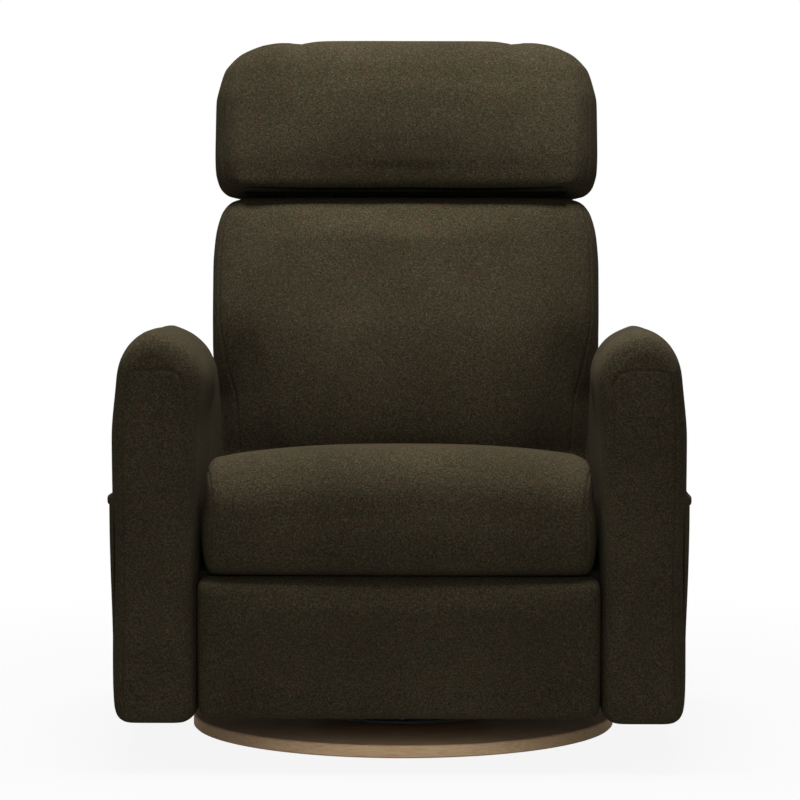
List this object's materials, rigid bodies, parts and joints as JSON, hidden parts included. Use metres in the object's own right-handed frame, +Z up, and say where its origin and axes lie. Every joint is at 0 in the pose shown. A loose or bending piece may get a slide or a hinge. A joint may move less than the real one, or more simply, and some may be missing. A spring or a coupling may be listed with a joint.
{
  "type": "swivel rocker recliner",
  "caption": "Upholstered armchair that swivels and rocks on a round wooden base, with a reclining back, a tilting headrest and a legrest that rises as the back leans.",
  "frame": {"origin": "on the floor, on the swivel axis, at the middle floor pad's face", "axes": "+X to the right of someone facing the chair, -Y to its front, +Z up"},
  "size_m": [0.812, 0.8034, 1.0231],
  "materials": {
    "upholstery": "matte",
    "webbing": "matte",
    "base_wood": "satin",
    "frame_wood": "matte",
    "black_steel": "satin",
    "zinc_steel": "satin",
    "nylon": "matte"
  },
  "bodies": {
    "base": {"base_disc": "base_wood", "floor_glides": "nylon", "swivel_lower_plate": "black_steel", "swivel_king_bolt": "zinc_steel"},
    "bearing": {"bearing_cage": "nylon", "bearing_rollers": "zinc_steel"},
    "turntable": {"swivel_upper_plate": "black_steel", "rocker_base": "black_steel", "rocker_ears": "black_steel", "rocker_axle": "zinc_steel", "rocker_springs": "zinc_steel"},
    "chassis": {"rocker_saddle": "black_steel", "saddle_flanges": "black_steel", "axle_bushes": "nylon", "chassis_front_tube": "black_steel", "chassis_rear_tube": "black_steel", "side_plate_left": "black_steel", "side_plate_right": "black_steel", "seat_rail_left": "frame_wood", "seat_rail_right": "frame_wood", "seat_front_bar": "black_steel", "seat_rear_bar": "black_steel", "seat_webbing": "webbing", "rear_panel": "upholstery", "seat_cushion": "upholstery", "arm_frame_left": "frame_wood", "arm_frame_right": "frame_wood", "arm_upholstery_left": "upholstery", "arm_upholstery_right": "upholstery", "arm_pocket_left": "upholstery", "arm_pocket_right": "upholstery"},
    "back": {"back_bracket_left": "black_steel", "back_bracket_right": "black_steel", "back_frame": "frame_wood", "back_webbing": "webbing", "back_cushion": "upholstery", "back_shell": "upholstery", "headrest_hinge_lower": "zinc_steel"},
    "headrest": {"headrest_hinge_upper": "zinc_steel", "headrest_board": "frame_wood", "headrest_cushion": "upholstery"},
    "push_rods": {"push_rod_left": "black_steel", "push_rod_right": "black_steel"},
    "rear_links": {"torque_tube": "black_steel", "torque_cranks": "black_steel", "rear_link_left": "black_steel", "rear_link_right": "black_steel"},
    "control_links": {"control_links": "black_steel"},
    "cross_links": {"cross_link_left": "black_steel", "cross_link_right": "black_steel"},
    "front_links": {"front_links": "black_steel"},
    "legrest": {"legrest_brackets": "black_steel", "legrest_board": "frame_wood", "legrest_pad": "upholstery"}
  },
  "joints": [
    {"name": "swivel", "type": "hinge", "parent": "base", "child": "turntable", "pos_m": [0, 0, 0.034], "axis": [0, 0, 1], "continuous": true},
    {"name": "bearing_turn", "type": "hinge", "parent": "base", "child": "bearing", "pos_m": [0, 0, 0.0285], "axis": [0, 0, 1], "continuous": true},
    {"name": "rock", "type": "hinge", "parent": "turntable", "child": "chassis", "pos_m": [0, 0, 0.088], "axis": [1, 0, 0], "range_deg": [-5, 5], "stiffness_Nm_per_rad": 1500, "deforming": ["rocker_springs"]},
    {"name": "recline", "type": "hinge", "parent": "chassis", "child": "back", "pos_m": [0, 0.165, 0.29], "axis": [-1, 0, 0], "range_deg": [0, 35]},
    {"name": "headrest_tilt", "type": "hinge", "parent": "back", "child": "headrest", "pos_m": [0, 0.22703, 0.78986], "axis": [1, 0, 0], "range_deg": [0, 35]},
    {"name": "push_rod_turn", "type": "hinge", "parent": "back", "child": "push_rods", "pos_m": [0, 0.20036, 0.17787], "axis": [-1, 0, 0], "range_deg": [-35, 0]},
    {"name": "rear_link_turn", "type": "hinge", "parent": "chassis", "child": "rear_links", "pos_m": [0, -0.25, 0.25], "axis": [-1, 0, 0], "range_deg": [0, 90]},
    {"name": "control_link_turn", "type": "hinge", "parent": "chassis", "child": "control_links", "pos_m": [0, -0.17, 0.25], "axis": [-1, 0, 0], "range_deg": [0, 90]},
    {"name": "cross_link_turn", "type": "hinge", "parent": "rear_links", "child": "cross_links", "pos_m": [0, -0.155, 0.131], "axis": [-1, 0, 0], "range_deg": [-90, 0]},
    {"name": "front_link_turn", "type": "hinge", "parent": "rear_links", "child": "front_links", "pos_m": [0, -0.145, 0.087], "axis": [-1, 0, 0], "range_deg": [-90, 0]},
    {"name": "legrest_turn", "type": "hinge", "parent": "cross_links", "child": "legrest", "pos_m": [0, -0.34, 0.246], "axis": [-1, 0, 0], "range_deg": [0, 90]}
  ],
  "couplings": [
    {"joint": "bearing_turn", "follows": "swivel", "ratio": 0.5},
    {"joint": "push_rod_turn", "follows": "recline", "ratio": -1},
    {"joint": "rear_link_turn", "follows": "recline", "ratio": 2.571},
    {"joint": "control_link_turn", "follows": "recline", "ratio": 2.571},
    {"joint": "cross_link_turn", "follows": "recline", "ratio": -2.571},
    {"joint": "front_link_turn", "follows": "recline", "ratio": -2.571},
    {"joint": "legrest_turn", "follows": "recline", "ratio": 2.571}
  ]
}
